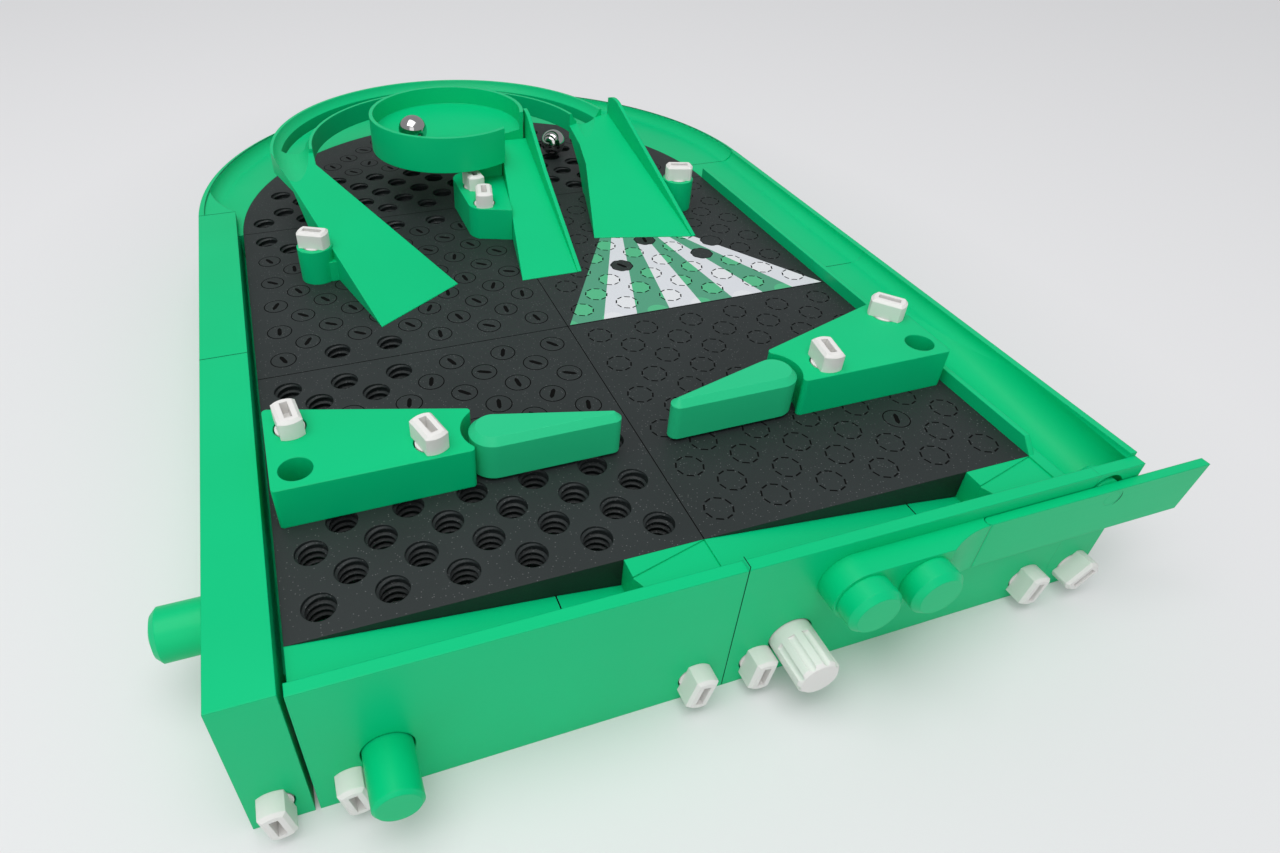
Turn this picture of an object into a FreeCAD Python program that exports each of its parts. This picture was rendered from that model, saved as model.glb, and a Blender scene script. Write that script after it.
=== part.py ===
import FreeCAD, Part
import Sketcher
import math
import os
from FreeCAD import Placement, Rotation, Vector

# A printed tabletop flipper game. Its playfield is a grid of threaded holes, and the pitch of
# that grid is the unit of the whole design: outlines are written in pitches, from the front
# left corner of the playfield, with x to the right, y to the back and z up from its surface.

doc = FreeCAD.newDocument("flipper_table")
sheet = doc.addObject("Spreadsheet::Sheet", "Dims")


class Size:
    """A length in millimetres with the sheet expression that gives it."""

    def __init__(self, value, text):
        self.value = value
        self.text = text

    def __add__(self, other):
        return Size(self.value + other.value, "(%s + %s)" % (self.text, other.text))

    def __sub__(self, other):
        return Size(self.value - other.value, "(%s - %s)" % (self.text, other.text))

    def __mul__(self, factor):
        return Size(self.value * factor, "(%s * %.6f)" % (self.text, factor))

    def __neg__(self):
        return self * -1.0


def driving(alias, value):
    """Puts one driving dimension in the next row of the sheet."""
    driving.row += 1
    cell = "B%d" % driving.row
    sheet.set("A%d" % driving.row, alias)
    sheet.set(cell, str(value))
    sheet.setAlias(cell, alias)
    return Size(value, "Dims.%s" % alias)


driving.row = 0
pitch = driving("pitch", 28.0)
rail_depth = driving("rail_depth", 72.8)
rail_top = driving("rail_top", 7.0)
lip_top = driving("lip_top", 4.8)
tile_thick = driving("tile_thick", 16.0)
tile_play = driving("tile_play", 0.1)
hole_dia = driving("hole_dia", 13.6)
wall_thick = driving("wall_thick", 3.6)
feature_high = driving("feature_high", 21.0)
pin_hole_dia = driving("pin_hole_dia", 14.4)
pin_shank_dia = driving("pin_shank_dia", 13.0)
arch_radius = driving("arch_radius", 201.6)
bowl_radius = driving("bowl_radius", 53.2)
bowl_rim = driving("bowl_rim", 57.0)
track_radius = driving("track_radius", 107.0)
track_top = driving("track_top", 45.4)
ball_dia = driving("ball_dia", 19.05)
shaft_play = driving("shaft_play", 0.08)
knob_dia = driving("knob_dia", 19.9)
button_dia = driving("button_dia", 23.5)
doc.recompute()

X_AXIS = Vector(1, 0, 0)
Y_AXIS = Vector(0, 1, 0)
Z_AXIS = Vector(0, 0, 1)

# Places on the grid, in pitches.
TILE_SPAN = 6.0
FRONT_FACE = -1.36
LIP_BACK = -1.16
TILE_FRONT = -0.5
RAIL_OUTER = -0.94
RAIL_INNER = -0.10
LANE_OUTER = 13.47
LANE_INNER = 12.0
RAIL_SEAM = 6.08
ARCH_START = 12.3
ARCH_CENTRE = 6.265
LEFT_END = -1.97
RIGHT_END = 14.85
KNOB_END = -2.20
ARCH_BACK = 19.5

# The row's origin is on the table, under the middle of the whole outline.
centre_x = pitch * ((LEFT_END + RIGHT_END) / 2)
centre_y = pitch * ((KNOB_END + ARCH_BACK) / 2)
HOME = Vector(-centre_x.value, -centre_y.value, rail_depth.value)


def at(length):
    """Reads a plain number as that many pitches."""
    if isinstance(length, Size):
        return length
    return pitch * length


def point(x, y, z):
    return Vector(at(x).value, at(y).value, at(z).value)


def bind(thing, path, size):
    thing.setExpression(path, size.text)


def place(thing, where=(0, 0, 0), turn=Rotation()):
    """Gives a sub-part its place: a point on the grid, and its turn about that point."""
    thing.Placement = Placement(HOME + point(*where), turn)
    bind(thing, "Placement.Base.x", at(where[0]) - centre_x)
    bind(thing, "Placement.Base.y", at(where[1]) - centre_y)
    bind(thing, "Placement.Base.z", at(where[2]) + rail_depth)


def new_body(name, where=(0, 0, 0), turn=Rotation()):
    body = doc.addObject("PartDesign::Body", name)
    body.Label = name
    place(body, where, turn)
    return body


def origin_plane(body, role):
    for feature in body.Origin.OriginFeatures:
        if feature.Role == role:
            return feature
    raise RuntimeError("no plane " + role)


def new_sketch(body, name, origin, along, up):
    """A sketch through origin whose own x runs along and own y runs up."""
    sketch = body.newObject("Sketcher::SketchObject", name)
    sketch.AttachmentSupport = (origin_plane(body, "XY_Plane"), [""])
    sketch.MapMode = "FlatFace"
    turn = Rotation(along, up, along.cross(up), "ZXY")
    sketch.AttachmentOffset = Placement(point(*origin), turn)
    for letter, length in zip("xyz", origin):
        bind(sketch, "AttachmentOffset.Base.%s" % letter, at(length))
    return sketch


def plan(body, name, z=0, origin=(0, 0)):
    """A sketch seen from above at height z."""
    return new_sketch(body, name, (origin[0], origin[1], z), X_AXIS, Y_AXIS)


def front_view(body, name, y, origin=(0, 0)):
    """A sketch seen from the front, which pads towards the viewer."""
    return new_sketch(body, name, (origin[0], y, origin[1]), X_AXIS, Z_AXIS)


def side_view(body, name, x, origin=(0, 0)):
    """A sketch seen from the right, which pads towards the right."""
    return new_sketch(body, name, (x, origin[0], origin[1]), Y_AXIS, Z_AXIS)


def fix_point(sketch, geometry, end, x, y):
    """Pins one point of a sketch at sizes from the sheet."""
    for kind, length in (("DistanceX", at(x)), ("DistanceY", at(y))):
        number = sketch.addConstraint(Sketcher.Constraint(kind, geometry, end, length.value))
        bind(sketch, "Constraints[%d]" % number, length)


def hold_centre(sketch, arc, chord):
    """Pins an arc's centre in the direction that its two ends leave free."""
    centre = sketch.Geometry[arc].Center
    kind, place_now = ("DistanceX", centre.x) if abs(chord.y) > abs(chord.x) else \
        ("DistanceY", centre.y)
    length = pitch * (place_now / pitch.value)
    number = sketch.addConstraint(Sketcher.Constraint(kind, arc, 3, length.value))
    bind(sketch, "Constraints[%d]" % number, length)


def outline(sketch, corners, arcs=None):
    """A closed outline. arcs gives, for a side's number, a point that its arc passes."""
    arcs = arcs or {}
    where = [Vector(at(x).value, at(y).value, 0) for x, y in corners]
    sides = []
    for number, start in enumerate(where):
        end = where[(number + 1) % len(where)]
        if number in arcs:
            middle = Vector(at(arcs[number][0]).value, at(arcs[number][1]).value, 0)
            curve = Part.Arc(start, middle, end)
            side = sketch.addGeometry(curve, False)
            hold_centre(sketch, side, end - start)
        else:
            side = sketch.addGeometry(Part.LineSegment(start, end), False)
        first_is_start = sketch.getPoint(side, 1).distanceToPoint(start) < 0.001
        sides.append((side, 1, 2) if first_is_start else (side, 2, 1))
    for number, (side, first, last) in enumerate(sides):
        before, unused, before_last = sides[number - 1]
        sketch.addConstraint(Sketcher.Constraint("Coincident", before, before_last, side, first))
        fix_point(sketch, side, first, *corners[number])


def circles(sketch, centres, diameter):
    """Equal circles, all driven by the first one's diameter."""
    first = None
    for x, y in centres:
        centre = Vector(at(x).value, at(y).value, 0)
        ring = sketch.addGeometry(Part.Circle(centre, Z_AXIS, diameter.value / 2), False)
        fix_point(sketch, ring, 3, x, y)
        if first is None:
            first = ring
            held = sketch.addConstraint(Sketcher.Constraint("Diameter", ring, diameter.value))
            bind(sketch, "Constraints[%d]" % held, diameter)
        else:
            sketch.addConstraint(Sketcher.Constraint("Equal", first, ring))


def feature(body, kind, name, sketch):
    made = body.newObject("PartDesign::" + kind, name)
    made.Profile = sketch
    return made


def pad(body, name, sketch, length, reverse=False):
    made = feature(body, "Pad", name, sketch)
    made.Length = at(length).value
    bind(made, "Length", at(length))
    made.Reversed = reverse
    return made


def pocket(body, name, sketch, length, reverse=False):
    """Cuts against the sketch's normal, or along it when reversed."""
    made = feature(body, "Pocket", name, sketch)
    made.Length = at(length).value
    bind(made, "Length", at(length))
    made.Reversed = reverse
    return made


def bore(body, name, sketch):
    """Cuts right through the body, both ways."""
    made = feature(body, "Pocket", name, sketch)
    made.Type = 1
    made.Midplane = True
    return made


def revolve(body, name, sketch, axis, angle=360.0, kind="Revolution", middle=False):
    made = feature(body, kind, name, sketch)
    made.ReferenceAxis = (sketch, [axis])
    made.Angle = angle
    made.Midplane = middle
    return made


def dress(body, name, kind, base, edges, size):
    """A fillet or a chamfer along the named edges of a feature."""
    made = body.newObject("PartDesign::" + kind, name)
    made.Base = (base, edges)
    path = "Radius" if kind == "Fillet" else "Size"
    setattr(made, path, at(size).value)
    bind(made, path, at(size))
    return made


def edges_where(shape, wanted):
    return ["Edge%d" % (i + 1) for i, edge in enumerate(shape.Edges) if wanted(edge)]


def upright(edge):
    """Tells a straight vertical edge."""
    if edge.Curve.TypeId != "Part::GeomLine":
        return False
    return abs(edge.tangentAt(edge.FirstParameter).z) > 0.999


def level_at(height):
    """Picks the edges that lie flat at one height of the body's own frame."""
    def wanted(edge):
        box = edge.BoundBox
        return abs(box.ZMin - height) < 0.01 and abs(box.ZMax - height) < 0.01
    return wanted


# The long side rails. Each is a deep bar with a ledge on its inner side that carries the tiles.
TILE_UNDER = -tile_thick
LEDGE_DEEP = 0.22
LEDGE_ROOT = 0.77
LEDGE_LEFT = 0.35
LEDGE_RIGHT = 11.65
TILE_ARC_Y = 11.5


def left_rail(name, start, end):
    body = new_body(name)
    bar = front_view(body, name + "_bar_outline", end)
    outline(bar, ((RAIL_OUTER, -rail_depth), (RAIL_INNER, -rail_depth), (RAIL_INNER, rail_top),
                  (RAIL_OUTER, rail_top)))
    pad(body, name + "_bar", bar, end - start)
    ledge_start = max(start, TILE_FRONT)
    ledge_end = min(end, TILE_ARC_Y)
    ledge = front_view(body, name + "_ledge_outline", ledge_end)
    outline(ledge, ((RAIL_INNER - 0.1, TILE_UNDER), (LEDGE_LEFT, TILE_UNDER),
                    (LEDGE_LEFT, TILE_UNDER - at(LEDGE_DEEP)),
                    (RAIL_INNER - 0.1, TILE_UNDER - at(LEDGE_ROOT))))
    pad(body, name + "_ledge", ledge, ledge_end - ledge_start)
    return body


BUTTON_Y = 1.20
BUTTON_Z = -1.20
PIN_Z = -2.12
PIN_HOLE_DEEP = 0.8

rail = left_rail("left_rail_front", FRONT_FACE, RAIL_SEAM)
button_hole = side_view(rail, "left_button_hole_outline", RAIL_OUTER - 0.1)
circles(button_hole, ((BUTTON_Y, BUTTON_Z),), button_dia + shaft_play * 2)
pocket(rail, "left_button_hole", button_hole, 1.6, reverse=True)
pin_hole = front_view(rail, "left_pin_hole_outline", FRONT_FACE)
circles(pin_hole, ((-0.545, PIN_Z),), pin_hole_dia)
pocket(rail, "left_pin_hole", pin_hole, PIN_HOLE_DEEP)
left_rail("left_rail_rear", RAIL_SEAM, ARCH_START)


# The right rail holds the shooter lane: an outer wall with a coved foot, a floor level with the
# playfield and a thin guide wall beside the tiles. Its front end sinks into a round groove.
GUIDE_BACK = 11.45
WALL_SEAM_X = 12.54
GROOVE_MIDDLE = 12.78
GROOVE_HALF = 0.56
STRIKER_X = 12.82
STRIKER_Z = -0.26
STRIKER_HOLE = 0.70
GROOVE_TILT = math.radians(6.2)


def right_rail(name, start, end):
    body = new_body(name)
    wall_inner = at(LANE_OUTER) - wall_thick
    bar = front_view(body, name + "_bar_outline", end)
    cove = 0.24
    outline(bar, ((LANE_OUTER, -rail_depth), (LANE_OUTER, rail_top), (wall_inner, rail_top),
                  (wall_inner, cove), (wall_inner - at(cove), 0), (LANE_INNER, 0),
                  (LANE_INNER, TILE_UNDER - at(LEDGE_ROOT)), (12.63, -1.6),
                  (12.63, -rail_depth)),
            {3: (wall_inner - at(cove * 0.293), cove * 0.293)})
    bar_start = max(start, LIP_BACK)
    pad(body, name + "_bar", bar, end - bar_start)
    ledge_start = max(start, TILE_FRONT)
    ledge_end = min(end, TILE_ARC_Y)
    ledge = front_view(body, name + "_ledge_outline", ledge_end)
    outline(ledge, ((LANE_INNER + 0.1, TILE_UNDER),
                    (LANE_INNER + 0.1, TILE_UNDER - at(LEDGE_ROOT)),
                    (LEDGE_RIGHT, TILE_UNDER - at(LEDGE_DEEP)), (LEDGE_RIGHT, TILE_UNDER)))
    pad(body, name + "_ledge", ledge, ledge_end - ledge_start)
    guide_start = max(start, TILE_FRONT)
    guide_end = min(end, GUIDE_BACK)
    guide = side_view(body, name + "_guide_outline", LANE_INNER)
    slant = 0.23 if start < 0 else 0.0
    outline(guide, ((guide_start, -0.1), (guide_end, -0.1), (guide_end, rail_top),
                    (guide_start + slant, rail_top), (guide_start, 0)))
    pad(body, name + "_guide", guide, 0.1)
    return body


rail = right_rail("right_rail_front", FRONT_FACE, RAIL_SEAM)
button_hole = side_view(rail, "right_button_hole_outline", LANE_OUTER + 0.1)
circles(button_hole, ((BUTTON_Y, BUTTON_Z),), button_dia + shaft_play * 2)
pocket(rail, "right_button_hole", button_hole, 2.0)
end_wall = front_view(rail, "lane_end_outline", LIP_BACK)
outline(end_wall, ((WALL_SEAM_X, -rail_depth), (LANE_OUTER, -rail_depth), (LANE_OUTER, lip_top),
                   (WALL_SEAM_X, lip_top)))
pad(rail, "lane_end", end_wall, LIP_BACK - FRONT_FACE)
tilted_up = Vector(0, -math.sin(GROOVE_TILT), math.cos(GROOVE_TILT))
groove = new_sketch(rail, "lane_groove_outline", (GROOVE_MIDDLE, LIP_BACK + 0.03, 0), X_AXIS,
                    tilted_up)
circles(groove, ((0, 0),), pitch * (GROOVE_HALF * 2))
pocket(rail, "lane_groove", groove, 5.6)
striker_hole = front_view(rail, "striker_hole_outline", FRONT_FACE)
circles(striker_hole, ((STRIKER_X, STRIKER_Z),), pitch * STRIKER_HOLE)
pocket(rail, "striker_hole", striker_hole, 0.31)
pin_hole = front_view(rail, "right_pin_hole_outline", FRONT_FACE)
circles(pin_hole, ((13.07, PIN_Z),), pin_hole_dia)
pocket(rail, "right_pin_hole", pin_hole, PIN_HOLE_DEEP)
right_rail("right_rail_rear", RAIL_SEAM, ARCH_START)


# The arch closes the back. Its floor runs level from the round edge of the rear tiles out to a
# thin wall on one big circle, with a cove at the wall's foot.
TILE_ARC = 6.0
arch_inner = arch_radius - wall_thick
COVE = 0.3
SHELF_ARC = 5.68


def on_circle(centre, radius, degrees):
    """A point on a circle as two sizes."""
    angle = math.radians(degrees)
    return (at(centre[0]) + at(radius) * math.cos(angle),
            at(centre[1]) + at(radius) * math.sin(angle))


def arch_half(name, side):
    """One half of the arch: side is -1 for the left and 1 for the right."""
    body = new_body(name)
    centre = (ARCH_CENTRE, ARCH_START)
    quarter = 135 if side < 0 else 45
    if side < 0:
        floor_start = (RAIL_INNER, TILE_ARC_Y)
        foot = (RAIL_INNER, ARCH_START)
        tile_corner = (0, TILE_ARC_Y)
        shelf_corner = (0.36, TILE_ARC_Y)
    else:
        floor_start = (LANE_INNER, TILE_ARC_Y)
        foot = (LANE_INNER, ARCH_START)
        tile_corner = floor_start
        shelf_corner = (LANE_INNER - 0.36, TILE_ARC_Y)
    low = on_circle(centre, arch_radius, 180 if side < 0 else 0)
    top = on_circle(centre, arch_radius, 90)
    middle = on_circle(centre, arch_radius, quarter)
    inner_middle = on_circle((TILE_SPAN, TILE_ARC_Y), TILE_ARC, quarter)
    inner_top_y = TILE_ARC_Y + math.sqrt(TILE_ARC ** 2 - (ARCH_CENTRE - TILE_SPAN) ** 2)
    floor = plan(body, name + "_floor_outline", 0)
    corners = [low, top, (ARCH_CENTRE, inner_top_y), tile_corner]
    if side < 0:
        corners += [floor_start, foot]
    else:
        corners += [foot]
    outline(floor, corners, {0: middle, 2: inner_middle})
    pad(body, name + "_floor", floor, tile_thick, reverse=True)
    shelf = plan(body, name + "_shelf_outline", TILE_UNDER)
    shelf_middle = on_circle((TILE_SPAN, TILE_ARC_Y), SHELF_ARC, quarter)
    shelf_top_y = TILE_ARC_Y + math.sqrt(SHELF_ARC ** 2 - (ARCH_CENTRE - TILE_SPAN) ** 2)
    end_x = TILE_SPAN + side * SHELF_ARC
    corners = [low, top, (ARCH_CENTRE, shelf_top_y), (end_x, TILE_ARC_Y)]
    if side < 0:
        corners += [floor_start, foot]
    else:
        corners += [(LANE_INNER, TILE_ARC_Y), foot]
    outline(shelf, corners, {0: middle, 2: shelf_middle})
    pad(body, name + "_shelf", shelf, LEDGE_DEEP, reverse=True)
    wall = plan(body, name + "_wall_outline", -rail_depth)
    inner_low = on_circle(centre, arch_inner, 180 if side < 0 else 0)
    inner_top = on_circle(centre, arch_inner, 90)
    wall_middle = on_circle(centre, arch_inner, quarter)
    outline(wall, (low, top, inner_top, inner_low), {0: middle, 2: wall_middle})
    pad(body, name + "_wall", wall, rail_depth + rail_top)
    cove = front_view(body, name + "_cove_outline", ARCH_START, (ARCH_CENTRE, 0))
    foot_x = arch_inner * side
    toe_x = (arch_inner - at(COVE)) * side
    outline(cove, ((foot_x, -0.1), (foot_x, COVE), (toe_x, 0), (toe_x, -0.1)),
            {1: ((arch_inner - at(COVE * 0.293)) * side, COVE * 0.293)})
    swept = revolve(body, name + "_cove", cove, "V_Axis", 90.0)
    swept.Reversed = side < 0
    return body


arch = arch_half("arch_left", -1)
shoulder = plan(arch, "arch_shoulder_outline", -rail_depth)
outline(shoulder, ((RAIL_OUTER, ARCH_START), (RAIL_INNER, ARCH_START), (-0.68, 14.05),
                   (-0.735, 13.9)),
        {1: (-0.50, 13.02), 3: (-0.886, 13.1)})
pad(arch, "arch_shoulder", shoulder, rail_depth + rail_top)
arch_half("arch_right", 1)


# The front is a thin panel with a lip, and a shelf behind it that carries the tiles' front edge
# and the drain troughs.
TROUGH_DEEP = 0.86


def front_wall(name, start, end, shelf_start, shelf_end, pins):
    body = new_body(name)
    panel = side_view(body, name + "_panel_outline", start)
    outline(panel, ((FRONT_FACE, -rail_depth), (LIP_BACK, -rail_depth), (LIP_BACK, lip_top),
                    (FRONT_FACE, lip_top)))
    pad(body, name + "_panel", panel, end - start)
    shelf = side_view(body, name + "_shelf_outline", shelf_start)
    outline(shelf, ((LIP_BACK - 0.1, -TROUGH_DEEP), (TILE_FRONT, -TROUGH_DEEP),
                    (TILE_FRONT, TILE_UNDER), (-0.2, TILE_UNDER), (-0.2, -1.06),
                    (LIP_BACK - 0.1, -1.06)))
    pad(body, name + "_shelf", shelf, shelf_end - shelf_start)
    holes = front_view(body, name + "_pin_hole_outline", FRONT_FACE)
    circles(holes, [(x, PIN_Z) for x in pins], pin_hole_dia)
    pocket(body, name + "_pin_holes", holes, 0.3)
    return body


FRONT_LEFT_END = -0.03
FRONT_SEAM = 6.24
GREEN_KNOB = (1.02, -1.60)
WHITE_KNOB = (7.31, -1.74)
KNOB_HOLE = 0.76
BOLTS = (8.02, 9.10)
BAR_MIDDLE = -0.57

wall = front_wall("front_wall_left", FRONT_LEFT_END, FRONT_SEAM, LEDGE_LEFT, FRONT_SEAM,
                  (0.49, 5.68))
hole = front_view(wall, "push_knob_hole_outline", FRONT_FACE)
circles(hole, (GREEN_KNOB,), pitch * KNOB_HOLE)
pocket(wall, "push_knob_hole", hole, 0.3)
wall = front_wall("front_wall_right", FRONT_SEAM, WALL_SEAM_X, FRONT_SEAM, LEDGE_RIGHT,
                  (6.73, 12.02))
hole = front_view(wall, "turning_knob_hole_outline", FRONT_FACE)
circles(hole, (WHITE_KNOB,), pitch * KNOB_HOLE)
pocket(wall, "turning_knob_hole", hole, 0.3)
bolt_dia = pitch * 0.5
hole = front_view(wall, "bolt_hole_outline", FRONT_FACE)
circles(hole, [(x, BAR_MIDDLE) for x in BOLTS], bolt_dia)
pocket(wall, "bolt_holes", hole, 0.2)


# A drain trough: its floor falls to the right, to a pocket before a block whose top is level at
# the back and dips towards the front left.
def drain_trough(name, start):
    body = new_body(name)
    back = TILE_FRONT
    floor = front_view(body, name + "_floor_outline", back)
    pocket_x = start + 4.72
    outline(floor, ((start, 0), (start, -TROUGH_DEEP), (start + TILE_SPAN, -TROUGH_DEEP),
                    (start + TILE_SPAN, 0), (pocket_x, 0), (pocket_x, -0.56),
                    (start + 3.71, -0.42)))
    pad(body, name + "_floor", floor, back - LIP_BACK)
    cheek = plan(body, name + "_cheek_outline", 0)
    outline(cheek, ((pocket_x - 0.05, back - 0.22), (pocket_x + 0.16, LIP_BACK - 0.02),
                    (pocket_x - 0.05, LIP_BACK - 0.02)))
    pocket(body, name + "_cheek", cheek, 0.56)
    step = plan(body, name + "_step_outline", 0)
    outline(step, ((pocket_x - 0.1, back - 0.356), (start + TILE_SPAN + 0.1, back + 0.026),
                   (start + TILE_SPAN + 0.1, LIP_BACK - 0.1), (pocket_x - 0.1, LIP_BACK - 0.1)))
    pocket(body, name + "_step", step, 0.025)
    slit = front_view(body, name + "_slit_outline", back)
    outline(slit, ((start + 3.69, -0.7), (start + 3.72, -0.7), (start + 3.72, 0),
                   (start + 3.69, 0)))
    pocket(body, name + "_slit", slit, back - LIP_BACK)
    return body


drain_trough("drain_trough_left", 0.0)
drain_trough("drain_trough_right", TILE_SPAN)


# The six tiles of the playfield. Holes lie on two grids that are half a pitch apart.
def lattice(left, front):
    """All hole centres of one tile."""
    whole = range(int(TILE_SPAN))
    across = [(left + i + 0.5, front + j + 0.5) for i in whole for j in whole]
    between = [(left + i, front + j + 1.0) for i in whole[1:] for j in whole[:-1]]
    return across + between


def tile(name, left, front, is_open, rounded=0):
    body = new_body(name)
    base = plan(body, name + "_outline", TILE_UNDER)
    low_x = at(left) + tile_play
    high_x = at(left + TILE_SPAN) - tile_play
    low_y = at(front) + tile_play
    high_y = at(front + TILE_SPAN) - tile_play
    reach = at(TILE_ARC) - tile_play
    if rounded < 0:
        corner = (TILE_SPAN, front)
        outline(base, ((low_x, low_y), (high_x, low_y), (high_x, high_y)),
                {2: on_circle(corner, reach, 135)})
    elif rounded > 0:
        corner = (TILE_SPAN, front)
        outline(base, ((low_x, low_y), (high_x, low_y), (low_x, high_y)),
                {1: on_circle(corner, reach, 45)})
    else:
        outline(base, ((low_x, low_y), (high_x, low_y), (high_x, high_y), (low_x, high_y)))
    pad(body, name + "_plate", base, tile_thick)
    holes = [spot for spot in lattice(left, front) if is_open(*spot)]
    if holes:
        rings = plan(body, name + "_hole_outline", 0)
        circles(rings, holes, hole_dia)
        pocket(body, name + "_holes", rings, tile_thick)
    return body


FLIPPER_PIVOTS = ((3.5, 2.0), (8.5, 2.0))


def near(x, y, spots):
    return any(abs(x - a) < 0.1 and abs(y - b) < 0.1 for a, b in spots)


SLING_PINS = ((0.5, 3.0), (2.5, 2.0), (9.5, 2.0), (11.5, 3.0))
SLING_HOLES = ((0.5, 2.0), (11.5, 2.0))
RAMP_PINS = ((1.5, 9.0), (10.5, 10.0), (5.5, 10.0), (5.5, 11.0))
FASTENED = SLING_PINS + SLING_HOLES + RAMP_PINS + FLIPPER_PIVOTS


FRONT_SPARE = ((0.5, 5.0), (1.0, 4.5), (1.5, 5.0), (2.0, 4.5), (2.5, 5.0))
MIDDLE_SPARE = ((1.5, 6.0), (2.5, 6.0), (1.0, 10.5), (0.5, 11.0))


def front_left_open(x, y):
    return y < 2.2 or near(x, y, FASTENED + FRONT_SPARE)


def fastened_only(x, y):
    return near(x, y, FASTENED)


def middle_left_open(x, y):
    return near(x, y, FASTENED + MIDDLE_SPARE) or (y > 10.9 and x > 3.4)


def rear_left_open(x, y):
    inside = math.hypot(x - TILE_SPAN, y - TILE_ARC_Y) < TILE_ARC - 0.45
    return inside and y < 14.2


def rear_right_open(x, y):
    inside = math.hypot(x - TILE_SPAN, y - TILE_ARC_Y) < TILE_ARC - 0.45
    return inside and 7.4 < x < 9.2


tile("tile_front_left", 0, TILE_FRONT, front_left_open)
tile("tile_front_right", TILE_SPAN, TILE_FRONT, fastened_only)
tile("tile_middle_left", 0, 5.5, middle_left_open)
inlaid = tile("tile_middle_right", TILE_SPAN, 5.5, fastened_only)
tile("tile_rear_left", 0, 11.5, rear_left_open, rounded=-1)
tile("tile_rear_right", TILE_SPAN, 11.5, rear_right_open, rounded=1)

# A fan of eight stripes is let into the middle right tile.
INLAY_DEEP = 0.03
FAN_FRONT = ((6.06, 5.53), (11.93, 5.53))
FAN_BACK = ((8.02, 8.90), (10.15, 8.41))
STRIPES = 8


def between(ends, share):
    return tuple(a + (b - a) * share for a, b in zip(*ends))


bed = plan(inlaid, "inlay_bed_outline", 0)
outline(bed, (FAN_FRONT[0], FAN_FRONT[1], FAN_BACK[1], FAN_BACK[0]))
pocket(inlaid, "inlay_bed", bed, INLAY_DEEP)


def inlay(name, first):
    body = new_body(name)
    for stripe in range(first, STRIPES, 2):
        low, high = stripe / STRIPES, (stripe + 1) / STRIPES
        strip = plan(body, "%s_outline_%d" % (name, stripe), -INLAY_DEEP)
        outline(strip, (between(FAN_FRONT, low), between(FAN_FRONT, high),
                        between(FAN_BACK, high), between(FAN_BACK, low)))
        pad(body, "%s_stripe_%d" % (name, stripe), strip, INLAY_DEEP)
    return body


inlay("inlay_green", 0)
inlay("inlay_white", 1)

# Two beams run under the tiles' cross seams, from ledge to ledge.
for name, seam in (("cross_beam_front", 5.5), ("cross_beam_rear", 11.5)):
    beam = new_body(name)
    section = side_view(beam, name + "_outline", LEDGE_LEFT)
    outline(section, ((seam - 0.3, TILE_UNDER), (seam + 0.3, TILE_UNDER),
                      (seam + 0.12, TILE_UNDER - at(0.5)), (seam - 0.12, TILE_UNDER - at(0.5))))
    pad(beam, name + "_bar", section, LEDGE_RIGHT - LEDGE_LEFT)


# The slingshot blocks.
def mirrored(corners):
    return [(12.0 - x, y) for x, y in corners]


def block_holes(body, name, spots):
    rings = plan(body, name + "_hole_outline", feature_high)
    circles(rings, spots, pin_hole_dia)
    return pocket(body, name + "_holes", rings, feature_high)


def sling(name, flip):
    body = new_body(name)
    base = plan(body, name + "_outline", 0)
    corners = [(0.12, 1.60), (3.21, 1.60), (3.38, 2.58), (0.10, 3.58)]
    hollow = (3.0, 2.02)
    holes = [(0.5, 3.0), (2.5, 2.0), (0.5, 2.0)]
    if flip:
        corners = mirrored(corners)
        hollow = (12.0 - hollow[0], hollow[1])
        holes = mirrored(holes)
    outline(base, corners, {1: hollow})
    block = pad(body, name + "_block", base, feature_high)
    doc.recompute()
    rounded = dress(body, name + "_corners", "Fillet", block,
                    edges_where(block.Shape, upright), 0.07)
    block_holes(body, name, holes)
    return body


sling("sling_left", False)
sling("sling_right", True)


# A quarter-turn pin: a round shank, and a long head with flat flanks and a deep slot.
HEAD_WIDE = 0.38
HEAD_LONG = 0.66
HEAD_HIGH = 0.35


def turn_pin(name, where, turn, shank):
    body = new_body(name, where, turn)
    stem = plan(body, name + "_shank_outline", -at(shank))
    circles(stem, ((0, 0),), pin_shank_dia)
    pad(body, name + "_shank", stem, shank)
    head = plan(body, name + "_head_outline", 0)
    x, y = HEAD_WIDE / 2, HEAD_LONG / 2
    outline(head, ((-x, -y + 0.06), (x, -y + 0.06), (x, y - 0.06), (-x, y - 0.06)),
            {0: (0, -y), 2: (0, y)})
    cap = pad(body, name + "_head", head, HEAD_HIGH)
    doc.recompute()
    high = at(HEAD_HIGH).value
    dress(body, name + "_bevel", "Chamfer", cap, edges_where(cap.Shape, level_at(high)), 0.05)
    slot = plan(body, name + "_slot_outline", HEAD_HIGH)
    outline(slot, ((-0.06, -0.2), (0.06, -0.2), (0.06, 0.2), (-0.06, 0.2)))
    pocket(body, name + "_slot", slot, 0.22)
    return body


def about_z(degrees):
    return Rotation(Z_AXIS, degrees)


SHANK = 1.2
for name, spot, twist in (("sling_pin_left_rear", SLING_PINS[0], 8),
                          ("sling_pin_left_front", SLING_PINS[1], 16),
                          ("sling_pin_right_front", SLING_PINS[2], -9),
                          ("sling_pin_right_rear", SLING_PINS[3], 40),
                          ("ramp_pin_entry_post", RAMP_PINS[0], 62),
                          ("ramp_pin_exit_post", RAMP_PINS[1], 72),
                          ("ramp_pin_block_front", RAMP_PINS[2], -12),
                          ("ramp_pin_block_rear", RAMP_PINS[3], 4)):
    turn_pin(name, (spot[0], spot[1], feature_high), about_z(twist), SHANK)

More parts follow.
